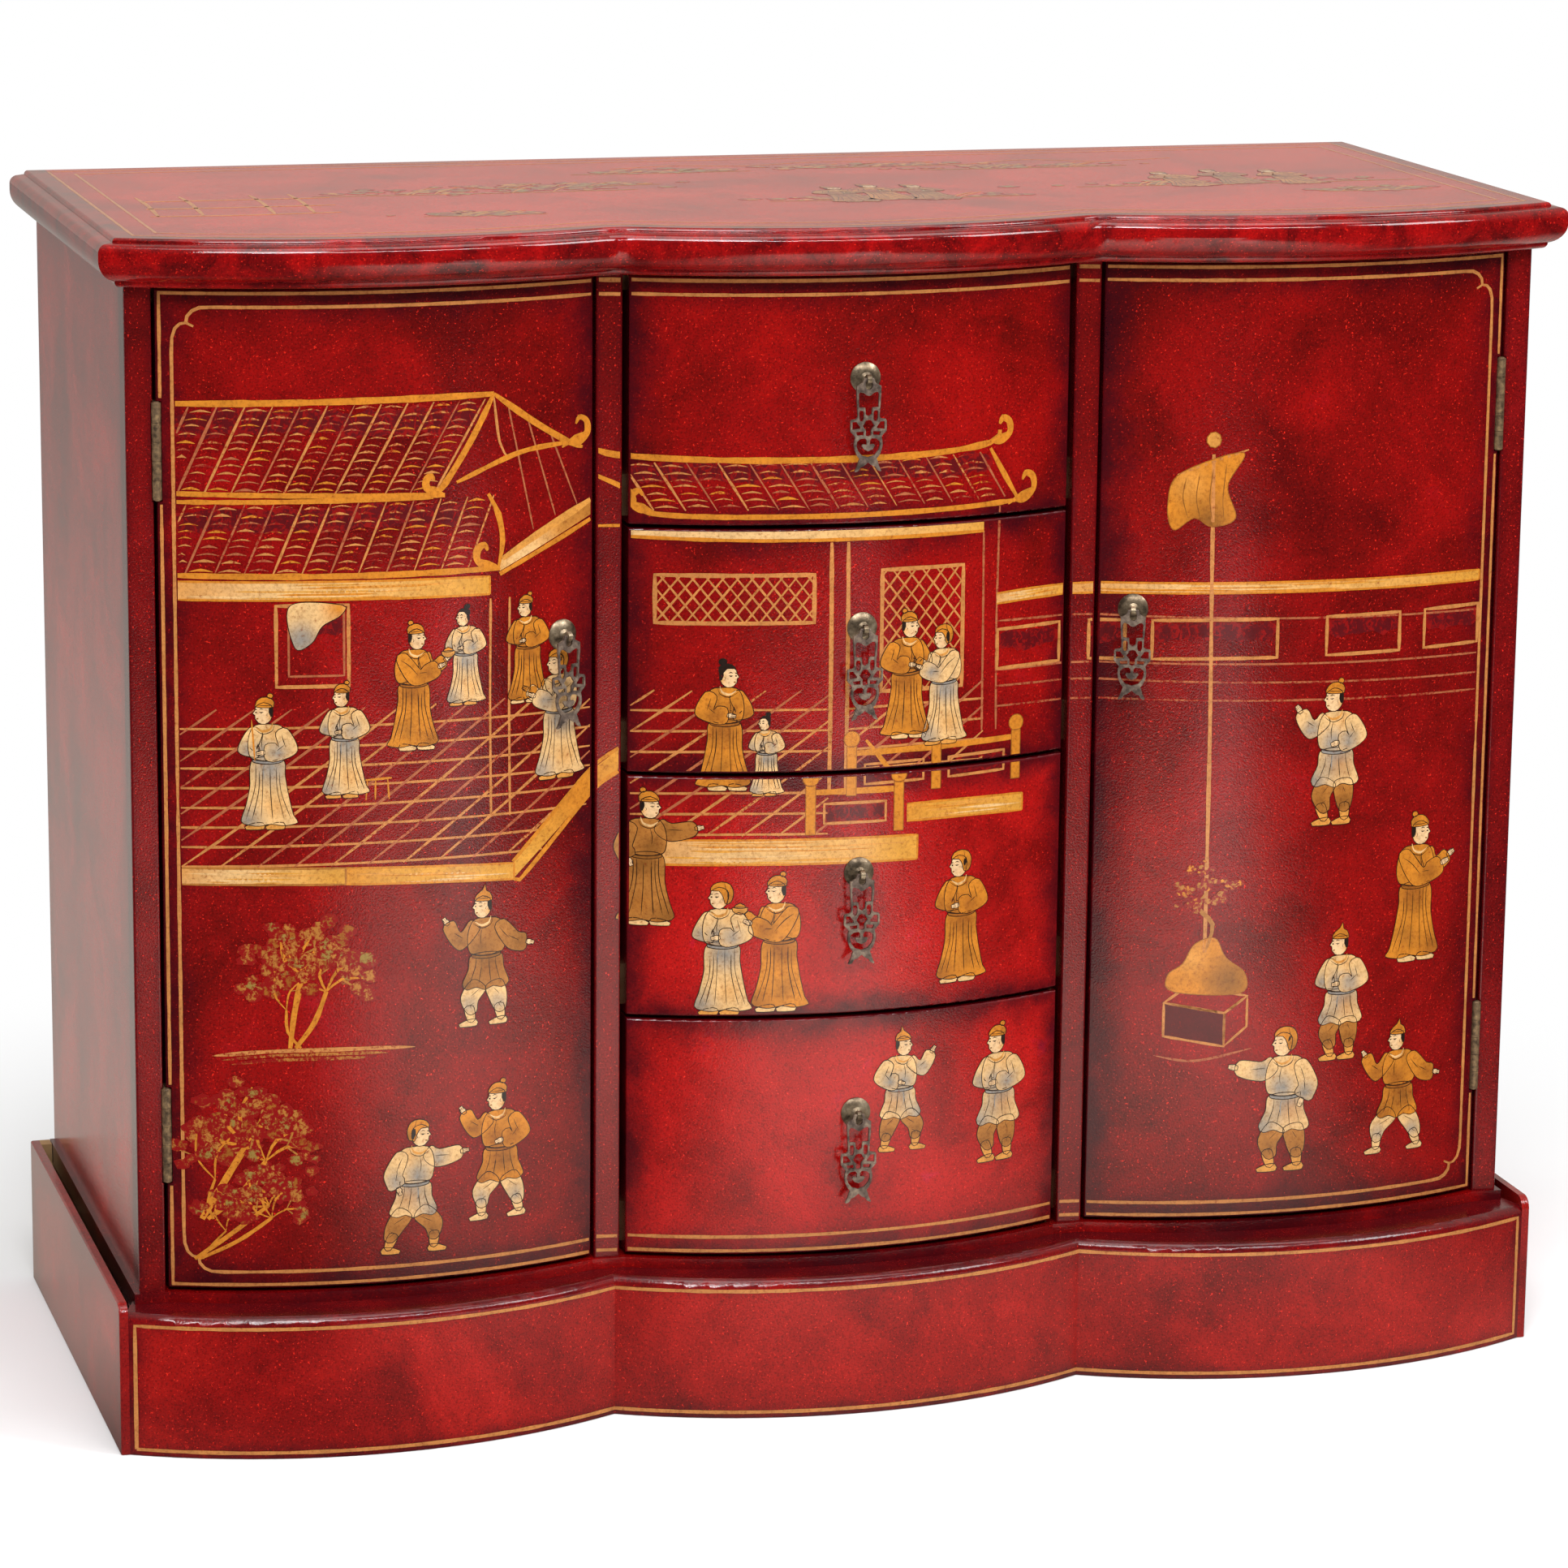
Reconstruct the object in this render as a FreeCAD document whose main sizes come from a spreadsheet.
import FreeCAD, Part
import math
import os
import re
from FreeCAD import Placement, Rotation, Vector

# A lacquered cabinet with three bowed fronts: a door on each side and four drawers between them.
# Millimetres. X runs across the front, the front faces -Y, Z is up and zero is the floor.
# The origin is under the middle of the whole cabinet.

os.makedirs("parts", exist_ok=True)
doc = FreeCAD.newDocument("lacquer_cabinet")
sheet = doc.addObject("Spreadsheet::Sheet", "sizes")

# Driving dimensions: alias, value, what it is
dimensions = [
    ("rear_reach", 219, "back plane behind the origin"),
    ("face_reach", 156, "flat stile faces in front of the origin"),
    ("carcass_width", 979, "over the two side panels"),
    ("overall_height", 815, "floor to top surface"),
    ("stile_width", 18, "width of every stile face"),
    ("stile_depth", 20, "front to back"),
    ("stile_ease", 1.5, "rounded front corners of the stiles"),
    ("side_thickness", 15, "side panels"),
    ("partition_thickness", 15, "partitions behind the divider stiles"),
    ("back_thickness", 6, "plywood back"),
    ("plinth_height", 98, "floor to the ledge of the plinth front"),
    ("plinth_margin", 11.5, "plinth front wider than the carcass, each side"),
    ("stile_spacing", "=(carcass_width + 2 * plinth_margin) / 3", "width of a bay, three equal ones"),
    ("plinth_projection", 23, "plinth corners in front of the stile faces"),
    ("plinth_rise", 40, "rise of each plinth bow over its chord"),
    ("plinth_wall", 18, "thickness of the bowed plinth front"),
    ("plinth_bullnose", 6, "rounded top edge of the plinth front"),
    ("ledge_thickness", 22, "flange behind the top of the plinth front"),
    ("ledge_seat", 25, "how far the flange reaches behind the stile faces"),
    ("plinth_side_thickness", 6, "thin side boards"),
    ("plinth_side_height", 104.5, "top of the side boards"),
    ("plinth_side_round", 9, "rounded top front corner of the side boards"),
    ("plinth_side_ease", 1.5, "rounded outer top edge of the side boards"),
    ("plinth_back_thickness", 12, "back board of the plinth"),
    ("block_width", 30, "glue blocks in the plinth corners"),
    ("block_height", 60, "glue blocks"),
    ("deck_lift", 7, "bottom board top above the plinth ledge"),
    ("deck_thickness", 15, "bottom board"),
    ("deck_nose", 3, "bottom board in front of the stile faces"),
    ("deck_lip", 3.5, "bottom board outside the side panels"),
    ("seat_clearance", 0.3, "between the bottom board and what it drops into"),
    ("mitre_depth", 26, "depth of the cut-away corner of the plinth ledge"),
    ("top_thickness", 32, "top board and its moulding"),
    ("top_overhang", 17.5, "flat top edge in front of the bowed faces"),
    ("side_overhang", 5.5, "flat top edge outside the side panels"),
    ("valley_radius", 35, "hollow where two bows of the top meet"),
    ("corner_run", 15, "straight stretch of the front edge before its mitred corner"),
    ("moulding_back", 12, "moulding width inside the flat top edge"),
    ("moulding_reach", 13, "fullest part of the moulding outside that edge"),
    ("moulding_foot", 2.4, "moulding foot inside that edge"),
    ("quirk_width", 2.6, "small step at the top of the moulding"),
    ("quirk_drop", 2.6, "depth of that step"),
    ("shoulder_start", 7.2, "where the shoulder turns over"),
    ("shoulder_drop", 3.2, "top of the shoulder under the top surface"),
    ("belly_top", 9, "upper end of the full part"),
    ("belly_bottom", 13.5, "lower end of the full part"),
    ("cove_reach", 1.5, "inner end of the sweep under the belly"),
    ("cove_drop", 28, "lower end of that sweep"),
    ("door_rise", 27, "rise of a door over its chord"),
    ("door_thickness", 18, "doors and drawer fronts"),
    ("front_ease", 1.2, "rounded front edges of doors and drawer fronts"),
    ("hinge_gap", 2.2, "door edge to end stile"),
    ("meeting_gap", 2.4, "door edge to divider stile"),
    ("door_floor_gap", 2.5, "under the doors and the lowest drawer"),
    ("door_top_gap", 2.5, "over the doors and the highest drawer"),
    ("drawer_count", 4, "drawers in the middle"),
    ("drawer_gap", 2.8, "between two drawer fronts"),
    ("drawer_side_gap", 4.3, "drawer front to divider stile"),
    ("drawer_rise", 32, "rise of a drawer front over its chord"),
    ("box_inset", 2, "drawer sides inside the ends of the front"),
    ("box_wall", 12, "drawer sides and back"),
    ("box_lift", 14, "drawer sides above the lower edge of the front"),
    ("box_top_drop", 18, "drawer sides below the upper edge of the front"),
    ("box_rear_gap", 30, "rear end of the drawer sides in front of the back panel"),
    ("back_drop", 8, "drawer back below the top of the sides"),
    ("tray_thickness", 6, "drawer bottom"),
    ("tray_lift", 4, "drawer bottom above the lower edge of the sides"),
    ("runner_width", 14, "drawer runners"),
    ("runner_height", 12, "drawer runners"),
    ("running_gap", 0.3, "between drawer side and runner, and drawer and stop"),
    ("runner_start", 22, "front end of the runners behind the stile faces"),
    ("stop_length", 12, "raised stop at the rear of a runner"),
    ("stop_height", 16, "stop and side guide above the runner"),
    ("guide_gap", 0.5, "side guide to drawer side"),
    ("rail_depth", 20, "rail under the top"),
    ("rail_height", 15, "rail under the top"),
    ("rail_setback", 22, "rail behind the stile faces"),
    ("shelf_height", 440, "top of the shelves above the floor"),
    ("shelf_thickness", 12, "shelves"),
    ("shelf_gap", 1, "shelf to panel"),
    ("shelf_setback", 28, "front edge of the shelves behind the stile faces"),
    ("pin_radius", 2.5, "shelf pins"),
    ("pin_bite", 10, "shelf pin in its hole"),
    ("pin_reach", 8, "shelf pin outside its hole"),
    ("pin_clearance", 0.05, "shelf pin to hole"),
    ("pin_inset", 50, "shelf pins from the ends of the shelf"),
    ("hinge_length", 63.5, "butt hinge"),
    ("hinge_inset", 106, "middle of a hinge from the end of the door"),
    ("knuckle_radius", 3.1, "hinge barrel"),
    ("knuckle_count", 5, "knuckles in a barrel"),
    ("knuckle_gap", 0.25, "between two knuckles"),
    ("hinge_axis_out", 0.5, "hinge axis in front of the stile faces"),
    ("hinge_axis_in", 2.1, "hinge axis from the end stile"),
    ("leaf_thickness", 1, "hinge leaf"),
    ("leaf_width", 16, "hinge leaf behind the barrel"),
    ("pin_core", 1.3, "hinge pin radius"),
    ("pin_running", 0.05, "hinge pin in the knuckles"),
    ("pin_head", 0.9, "height of a hinge pin tip"),
    ("pin_tip", 2.5, "radius of a hinge pin tip"),
    ("notch_clearance", 0.4, "around the barrel in door and stile"),
    ("screw_hole", 1.7, "screw holes in the leaves"),
    ("screw_pitch", 21, "between two screw holes"),
    ("catch_width", 15, "magnet catch"),
    ("catch_depth", 20, "magnet catch"),
    ("catch_height", 12, "magnet catch"),
    ("catch_setback", 19.5, "magnet catch behind the stile faces"),
    ("strike_width", 12, "strike plate"),
    ("strike_thickness", 1.2, "strike plate"),
    ("strike_inset", 8, "strike plate from the free edge of the door"),
    ("strike_drop", 6, "strike plate below the upper edge of the catch"),
    ("seat_gap", 0.01, "corners of a flat piece to the hollow side of a bow"),
    ("pull_drop", 68, "pull centre below the upper edge of a drawer front"),
    ("pull_inset", 22.5, "door pull from the free edge of the door"),
    ("door_pull_rise", 99, "door pull above the middle of the door"),
    ("plate_radius", 10.4, "pull backplate"),
    ("plate_rim", 0.8, "edge of the backplate"),
    ("plate_dome", 3.2, "height of the domed backplate"),
    ("collar_radius", 4.2, "foot of the post on the dome"),
    ("post_radius", 2.2, "post of the pull"),
    ("eye_reach", 8.4, "eye centre in front of the door or drawer face"),
    ("eye_radius", 3.2, "eye of the post"),
    ("eye_width", 3, "eye of the post"),
    ("bar_radius", 1.05, "bar of the pendant in the eye"),
    ("bar_running", 0.08, "bar to eye"),
    ("bar_half", 3.4, "half length of the bar"),
    ("shank_radius", 2, "threaded shank through the wood"),
    ("shank_clearance", 0.2, "shank to hole"),
    ("shank_tail", 6, "shank behind the wood"),
    ("nut_flats", 7, "nut across flats"),
    ("nut_height", 3, "nut"),
    ("pendant_width", 25, "pendant over its wings"),
    ("pendant_height", 62, "pendant under the bar"),
    ("pendant_thickness", 1.8, "pendant plate"),
    ("tool_overrun", 2, "cutting shapes past the faces they cut"),
    ("match_tolerance", 0.0001, "how close an edge lies to the place it is looked for"),
]
for row, (alias, value, note) in enumerate(dimensions, start=1):
    sheet.set("A%d" % row, note)
    sheet.set("B%d" % row, str(value))
    sheet.setAlias("B%d" % row, alias)
doc.recompute()
aliases = [alias for alias, value, note in dimensions]


class Sizes:
    pass


# The same driving dimensions for the outlines, read back from the sheet
size = Sizes()
for alias in aliases:
    setattr(size, alias, float(sheet.get(alias)))
size.knuckle_count = int(size.knuckle_count)
size.drawer_count = int(size.drawer_count)


# Write an expression in plain aliases and tie a property to the sheet with it
def bound(text):
    def cell(match):
        word = match.group(0)
        return "sizes." + word if word in aliases else word
    return re.sub(r"[a-z_]+", cell, text)


def tie(thing, **formulas):
    for name, text in formulas.items():
        thing.setExpression(name.replace("__", "."), bound(text))


# Lines of arithmetic that several pieces share, in plain aliases
deck_top = "(plinth_height + deck_lift)"
carcass_top = "(overall_height - top_thickness)"
carcass_tall = "(overall_height - top_thickness - plinth_height - deck_lift)"
half_carcass = "(carcass_width / 2)"
door_foot = "(plinth_height + deck_lift + door_floor_gap)"
front_tall = "(overall_height - top_thickness - door_top_gap - plinth_height - deck_lift - door_floor_gap)"
notch_half = "(hinge_length / 2 + pin_head + notch_clearance)"
hinge_places = {
    "upper_hinge": "(" + door_foot + " + " + front_tall + " - hinge_inset)",
    "lower_hinge": "(" + door_foot + " + hinge_inset)",
}
drawer_tall = "((" + front_tall + " - (drawer_count - 1) * drawer_gap) / drawer_count)"
box_tall = "(" + drawer_tall + " - box_lift - box_top_drop)"

# The same places as numbers, for the outlines
face_y = -size.face_reach
rear_y = size.rear_reach
near = size.match_tolerance
deck_top_z = size.plinth_height + size.deck_lift
carcass_top_z = size.overall_height - size.top_thickness
half_width = size.carcass_width / 2
stile_x = size.stile_spacing / 2
door_foot_z = deck_top_z + size.door_floor_gap
front_height = carcass_top_z - size.door_top_gap - door_foot_z
drawer_height = (front_height - (size.drawer_count - 1) * size.drawer_gap) / size.drawer_count
drawer_pitch = drawer_height + size.drawer_gap
bay_x = stile_x - size.stile_width / 2
door_outer_x = half_width - size.stile_width - size.hinge_gap
door_inner_x = stile_x + size.stile_width / 2 + size.meeting_gap
drawer_half = bay_x - size.drawer_side_gap
box_rear_y = rear_y - size.back_thickness - size.box_rear_gap


# A bow: the front arc of an upright cylinder, given by its chord and its rise
class Bow:
    def __init__(self, left, right, chord_y, rise):
        half = (right - left) / 2
        self.radius = (half ** 2 + rise ** 2) / (2 * rise)
        self.x = (left + right) / 2
        self.y = chord_y - rise + self.radius

    def point(self, x, offset=0):
        reach = (self.radius + offset) ** 2 - (x - self.x) ** 2
        return Vector(x, self.y - math.sqrt(reach), 0)

    def arc(self, start, end, offset=0):
        middle = (start + end) / 2
        return Part.Arc(self.point(start, offset), self.point(middle, offset), self.point(end, offset))

    # where the bow meets a straight front at depth y, on the given side
    def reach_at(self, y, offset, side):
        return self.x + side * math.sqrt((self.radius + offset) ** 2 - (self.y - y) ** 2)

    # how far the face is turned from straight ahead at x
    def turn(self, x, offset=0):
        return math.degrees(math.asin((x - self.x) / (self.radius + offset)))


# How far behind the wood a flat piece of some width sits against the hollow side of a bow
def seat_behind(bow, half_piece):
    inner = bow.radius - size.door_thickness
    return size.door_thickness + inner - math.sqrt(inner ** 2 - half_piece ** 2) + size.seat_gap


left_bow = Bow(-door_outer_x, -door_inner_x, face_y, size.door_rise)
right_bow = Bow(door_inner_x, door_outer_x, face_y, size.door_rise)
middle_bow = Bow(-drawer_half, drawer_half, face_y, size.drawer_rise)


def line(start, end):
    return Part.LineSegment(start, end)


def polygon(points):
    return [line(points[i - 1], points[i]) for i in range(len(points))]


def circle(x, y, radius):
    return Part.Circle(Vector(x, y, 0), Vector(0, 0, 1), radius)


# Make a body with its own name, and a sketch on one of its origin planes
def new_body(label):
    body = doc.addObject("PartDesign::Body", label)
    body.Label = label
    return body


def sketch_on(body, role, name, geometry, lift="0", turn=0):
    plane = [feature for feature in body.Origin.OriginFeatures if feature.Role == role][0]
    sketch = body.newObject("Sketcher::SketchObject", body.Label + "_" + name)
    sketch.AttachmentSupport = (plane, [""])
    sketch.MapMode = "FlatFace"
    sketch.AttachmentOffset = Placement(Vector(0, 0, 0), Rotation(Vector(0, 1, 0), turn))
    tie(sketch, AttachmentOffset__Base__z=lift)
    for piece in geometry:
        sketch.addGeometry(piece, False)
    return sketch


def pad(body, sketch, length, reverse=False):
    feature = body.newObject("PartDesign::Pad", sketch.Name + "_pad")
    feature.Profile = sketch
    feature.Reversed = reverse
    tie(feature, Length=length)
    doc.recompute()
    return feature


def pocket(body, sketch, length, reverse=False):
    before = body.Shape.Volume
    feature = body.newObject("PartDesign::Pocket", sketch.Name + "_pocket")
    feature.Profile = sketch
    feature.Reversed = reverse
    tie(feature, Length=length)
    doc.recompute()
    if body.Shape.Volume >= before:
        raise RuntimeError(sketch.Name + " cuts nothing")
    return feature


def fillet(body, base, chosen, radius):
    names = ["Edge%d" % (i + 1) for i, edge in enumerate(base.Shape.Edges) if chosen(edge)]
    feature = body.newObject("PartDesign::Fillet", base.Name + "_round")
    feature.Base = (base, names)
    tie(feature, Radius=radius)
    doc.recompute()
    return feature


# A plain board, tied to the sheet on all sides
def board(label, length, width, height, x, y, z):
    box = doc.addObject("Part::Box", label)
    box.Label = label
    tie(box, Length=length, Width=width, Height=height)
    tie(box, Placement__Base__x=x, Placement__Base__y=y, Placement__Base__z=z)
    return box


# Several separate solids in one node
def group(label, shapes):
    feature = doc.addObject("Part::Feature", label)
    feature.Label = label
    feature.Shape = Part.makeCompound(shapes)
    feature.Placement = Placement()
    return feature


def moved(shape, x=0, y=0, z=0, turn=0):
    copy = shape.copy()
    copy.Placement = Placement(Vector(x, y, z), Rotation(Vector(0, 0, 1), turn)).multiply(copy.Placement)
    return copy


def flipped(shape):
    return shape.mirror(Vector(0, 0, 0), Vector(1, 0, 0))


made = []


def keep(thing):
    made.append(thing)
    return thing


# Plinth front: three bows, a flange behind the top, a rebate for the bottom board
plinth_y = face_y - size.plinth_projection
plinth_half = half_width + size.plinth_margin
plinth_bows = [
    Bow(-plinth_half, -stile_x, plinth_y, size.plinth_rise),
    Bow(-stile_x, stile_x, plinth_y, size.plinth_rise),
    Bow(stile_x, plinth_half, plinth_y, size.plinth_rise),
]
deck_half = half_width + size.deck_lip


def plinth_arcs(offset):
    starts = [-plinth_half, -stile_x, stile_x]
    ends = [-stile_x, stile_x, plinth_half]
    return [bow.arc(a, b, offset) for bow, a, b in zip(plinth_bows, starts, ends)]


# Outline of the bottom board: flat in front of each stile, bowed in front of doors and drawers
def deck_outline(offset, half, back):
    front = face_y - offset
    spans = []
    for bow in (left_bow, middle_bow, right_bow):
        spans.append((bow, bow.reach_at(front, offset, -1), bow.reach_at(front, offset, 1)))
    edges = []
    corner = Vector(-half, front, 0)
    for bow, start, end in spans:
        edges.append(line(corner, bow.point(start, offset)))
        edges.append(bow.arc(start, end, offset))
        corner = bow.point(end, offset)
    edges.append(line(corner, Vector(half, front, 0)))
    edges.append(line(Vector(half, front, 0), Vector(half, back, 0)))
    edges.append(line(Vector(half, back, 0), Vector(-half, back, 0)))
    edges.append(line(Vector(-half, back, 0), Vector(-half, front, 0)))
    return edges


def make_plinth_front():
    body = new_body("plinth_front")
    outer = plinth_arcs(0)
    inner = plinth_arcs(-size.plinth_wall)
    wall_back = plinth_bows[0].point(-plinth_half, -size.plinth_wall)
    ends = [
        line(Vector(-plinth_half, plinth_y, 0), wall_back),
        line(Vector(plinth_half, wall_back.y, 0), Vector(plinth_half, plinth_y, 0)),
    ]
    wall = sketch_on(body, "XY_Plane", "wall", outer + inner + ends)
    pad(body, wall, "plinth_height")
    seat_y = face_y + size.ledge_seat
    core = plinth_arcs(-size.plinth_wall / 2)
    core_end = plinth_bows[0].point(-plinth_half, -size.plinth_wall / 2)
    rest = [
        line(Vector(plinth_half, core_end.y, 0), Vector(plinth_half, seat_y, 0)),
        line(Vector(plinth_half, seat_y, 0), Vector(-plinth_half, seat_y, 0)),
        line(Vector(-plinth_half, seat_y, 0), core_end),
    ]
    flange = sketch_on(body, "XY_Plane", "flange", core + rest, "plinth_height - ledge_thickness")
    pad(body, flange, "ledge_thickness")
    over = size.tool_overrun
    clear = size.deck_nose + size.seat_clearance
    seat = deck_outline(clear, deck_half + size.seat_clearance, seat_y + over)
    rebate = sketch_on(body, "XY_Plane", "rebate", seat, "plinth_height")
    pocket(body, rebate, "deck_thickness - deck_lift")
    # the corners of the ledge are cut away behind a mitre, where the trough beside the carcass starts
    inside = deck_half + size.seat_clearance
    cut_y = plinth_y + over
    for side in (-1, 1):
        corner = [
            Vector(side * (plinth_half + over), cut_y - over, 0),
            Vector(side * inside, cut_y + size.mitre_depth, 0),
            Vector(side * inside, seat_y + over, 0),
            Vector(side * (plinth_half + over), seat_y + over, 0),
        ]
        name = "left_mitre" if side < 0 else "right_mitre"
        mitre = sketch_on(body, "XY_Plane", name, polygon(corner), "plinth_height")
        pocket(body, mitre, "ledge_thickness")

    def top_front(edge):
        box = edge.BoundBox
        level = abs(box.ZMin - size.plinth_height) < near and abs(box.ZMax - size.plinth_height) < near
        on_face = [abs(edge.Curve.Radius - bow.radius) < near for bow in plinth_bows
                   if hasattr(edge.Curve, "Radius")]
        return level and any(on_face)
    fillet(body, body.Tip, top_front, "plinth_bullnose")
    return keep(body)


# Plinth sides: thin boards whose front corner follows the bullnose
def make_plinth_side(label, side):
    body = new_body(label)
    low = Vector(plinth_y, 0, 0)
    tall = size.plinth_side_height
    turn = size.plinth_side_round
    diagonal = turn * (1 - math.sqrt(2) / 2)
    start = Vector(plinth_y, tall - turn, 0)
    middle = Vector(plinth_y + diagonal, tall - diagonal, 0)
    end = Vector(plinth_y + turn, tall, 0)
    far = Vector(rear_y, tall, 0)
    foot = Vector(rear_y, 0, 0)
    outline = [line(low, start), Part.Arc(start, middle, end), line(end, far)]
    outline += [line(far, foot), line(foot, low)]
    profile = sketch_on(body, "YZ_Plane", "profile", outline)
    pad(body, profile, "plinth_side_thickness")
    outer_x = 0 if side < 0 else size.plinth_side_thickness

    def outer_top(edge):
        box = edge.BoundBox
        return (abs(box.XMin - outer_x) < near and abs(box.XMax - outer_x) < near
                and box.ZMin > tall - turn - near and box.YLength > near)
    fillet(body, body.Tip, outer_top, "plinth_side_ease")
    if side < 0:
        tie(body, Placement__Base__x="-(carcass_width / 2 + plinth_margin) - plinth_side_thickness")
    else:
        tie(body, Placement__Base__x="carcass_width / 2 + plinth_margin")
    return keep(body)


# Plinth back: closes the trough on both sides and carries the bottom board in a notch
def make_plinth_back():
    body = new_body("plinth_back")
    notch = deck_half + size.seat_clearance
    seat_z = deck_top_z - size.deck_thickness
    tall = size.plinth_side_height
    points = [
        Vector(-plinth_half, 0, 0), Vector(plinth_half, 0, 0), Vector(plinth_half, tall, 0),
        Vector(notch, tall, 0), Vector(notch, seat_z, 0), Vector(-notch, seat_z, 0),
        Vector(-notch, tall, 0), Vector(-plinth_half, tall, 0),
    ]
    profile = sketch_on(body, "XZ_Plane", "profile", polygon(points))
    pad(body, profile, "plinth_back_thickness")
    tie(body, Placement__Base__y="rear_reach")
    return keep(body)


def make_plinth_blocks():
    block = board("plinth_block", "block_width", "block_width", "block_height", "0", "0", "0")
    doc.recompute()
    wide = size.block_width
    front_y = plinth_bows[0].point(-plinth_half, -size.plinth_wall).y
    back = rear_y - size.plinth_back_thickness - wide
    places = [(x, y) for x in (-plinth_half, plinth_half - wide) for y in (front_y, back)]
    return keep(group("plinth_blocks", [moved(block.Shape, x, y) for x, y in places]))


# Carcass
def make_bottom_board():
    body = new_body("bottom_board")
    outline = sketch_on(body, "XY_Plane", "outline", deck_outline(size.deck_nose, deck_half, rear_y))
    pad(body, outline, "deck_thickness")
    tie(body, Placement__Base__z=deck_top + " - deck_thickness")
    return keep(body)


# An upright panel with blind holes for the shelf pins in one face
def make_pinned_panel(label, thickness, rear, x, hole_side):
    body = new_body(label)
    start = face_y + size.stile_depth
    thick = getattr(size, thickness)
    depth = rear - start
    corners = [Vector(0, 0, 0), Vector(thick, 0, 0), Vector(thick, depth, 0), Vector(0, depth, 0)]
    outline = sketch_on(body, "XY_Plane", "outline", polygon(corners))
    pad(body, outline, carcass_tall)
    pin_z = size.shelf_height - size.shelf_thickness - size.pin_radius - deck_top_z
    front, rear = pin_places()
    holes = [circle(y - start, pin_z, size.pin_radius + size.pin_clearance) for y in (front, rear)]
    lift = "0" if hole_side < 0 else thickness
    drill = sketch_on(body, "YZ_Plane", "pin_holes", holes, lift)
    pocket(body, drill, "pin_bite", reverse=hole_side < 0)
    tie(body, Placement__Base__x=x, Placement__Base__y="stile_depth - face_reach")
    tie(body, Placement__Base__z=deck_top)
    return keep(body)


def pin_places():
    front = face_y + size.shelf_setback + size.pin_inset
    rear = rear_y - size.back_thickness - size.shelf_gap - size.pin_inset
    return front, rear


def make_stile(label, x, hinge_side=0):
    body = new_body(label)
    wide = size.stile_width
    deep = size.stile_depth
    ease = size.stile_ease
    diagonal = ease * (1 - math.sqrt(2) / 2)
    outline = [
        line(Vector(0, deep, 0), Vector(0, ease, 0)),
        Part.Arc(Vector(0, ease, 0), Vector(diagonal, diagonal, 0), Vector(ease, 0, 0)),
        line(Vector(ease, 0, 0), Vector(wide - ease, 0, 0)),
        Part.Arc(Vector(wide - ease, 0, 0), Vector(wide - diagonal, diagonal, 0), Vector(wide, ease, 0)),
        line(Vector(wide, ease, 0), Vector(wide, deep, 0)),
        line(Vector(wide, deep, 0), Vector(0, deep, 0)),
    ]
    profile = sketch_on(body, "XY_Plane", "profile", outline)
    pad(body, profile, carcass_tall)
    if hinge_side:
        edge = wide if hinge_side < 0 else 0
        axis_x = edge - hinge_side * size.hinge_axis_in
        notch_radius = size.knuckle_radius + size.notch_clearance
        for name, middle in hinge_places.items():
            notch = circle(axis_x, -size.hinge_axis_out, notch_radius)
            lift = middle + " + " + notch_half + " - " + deck_top
            cut = sketch_on(body, "XY_Plane", name, [notch], lift)
            pocket(body, cut, "2 * " + notch_half)
    tie(body, Placement__Base__x=x, Placement__Base__y="-face_reach", Placement__Base__z=deck_top)
    return keep(body)


def make_runners():
    body = doc.addObject("PartDesign::Body", "runner")
    start = face_y + size.runner_start
    stop = box_rear_y + size.running_gap
    end = stop + size.stop_length
    low = 0
    high = size.runner_height
    peak = high + size.stop_height
    points = [
        Vector(start, low, 0), Vector(end, low, 0), Vector(end, peak, 0),
        Vector(stop, peak, 0), Vector(stop, high, 0), Vector(start, high, 0),
    ]
    profile = sketch_on(body, "YZ_Plane", "profile", polygon(points))
    pad(body, profile, "runner_width")
    guide = [Vector(start, low, 0), Vector(end, low, 0), Vector(end, peak, 0), Vector(start, peak, 0)]
    lip = sketch_on(body, "YZ_Plane", "guide", polygon(guide))
    pad(body, lip, "drawer_side_gap + box_inset - guide_gap")
    shapes = []
    for number in range(size.drawer_count):
        z = drawer_foot(number) + size.box_lift - size.running_gap - size.runner_height
        shapes.append(moved(body.Shape, -bay_x, 0, z))
        shapes.append(moved(flipped(body.Shape), bay_x, 0, z))
    return keep(group("drawer_runners", shapes))


def drawer_foot(number):
    return door_foot_z + (size.drawer_count - 1 - number) * drawer_pitch


def make_rails():
    inner = half_width - size.side_thickness
    outer_bay = bay_x + size.partition_thickness
    rail = doc.addObject("Part::Box", "rail")
    tie(rail, Length="stile_spacing - stile_width", Width="rail_depth", Height="rail_height")
    side_rail = doc.addObject("Part::Box", "side_rail")
    side_long = half_carcass + " - side_thickness - stile_spacing / 2 + stile_width / 2 - partition_thickness"
    tie(side_rail, Length=side_long, Width="rail_depth", Height="rail_height")
    doc.recompute()
    y = face_y + size.rail_setback
    z = carcass_top_z - size.rail_height
    shapes = [
        moved(rail.Shape, -bay_x, y, z),
        moved(side_rail.Shape, -inner, y, z),
        moved(side_rail.Shape, outer_bay, y, z),
    ]
    return keep(group("top_rails", shapes))


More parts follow.
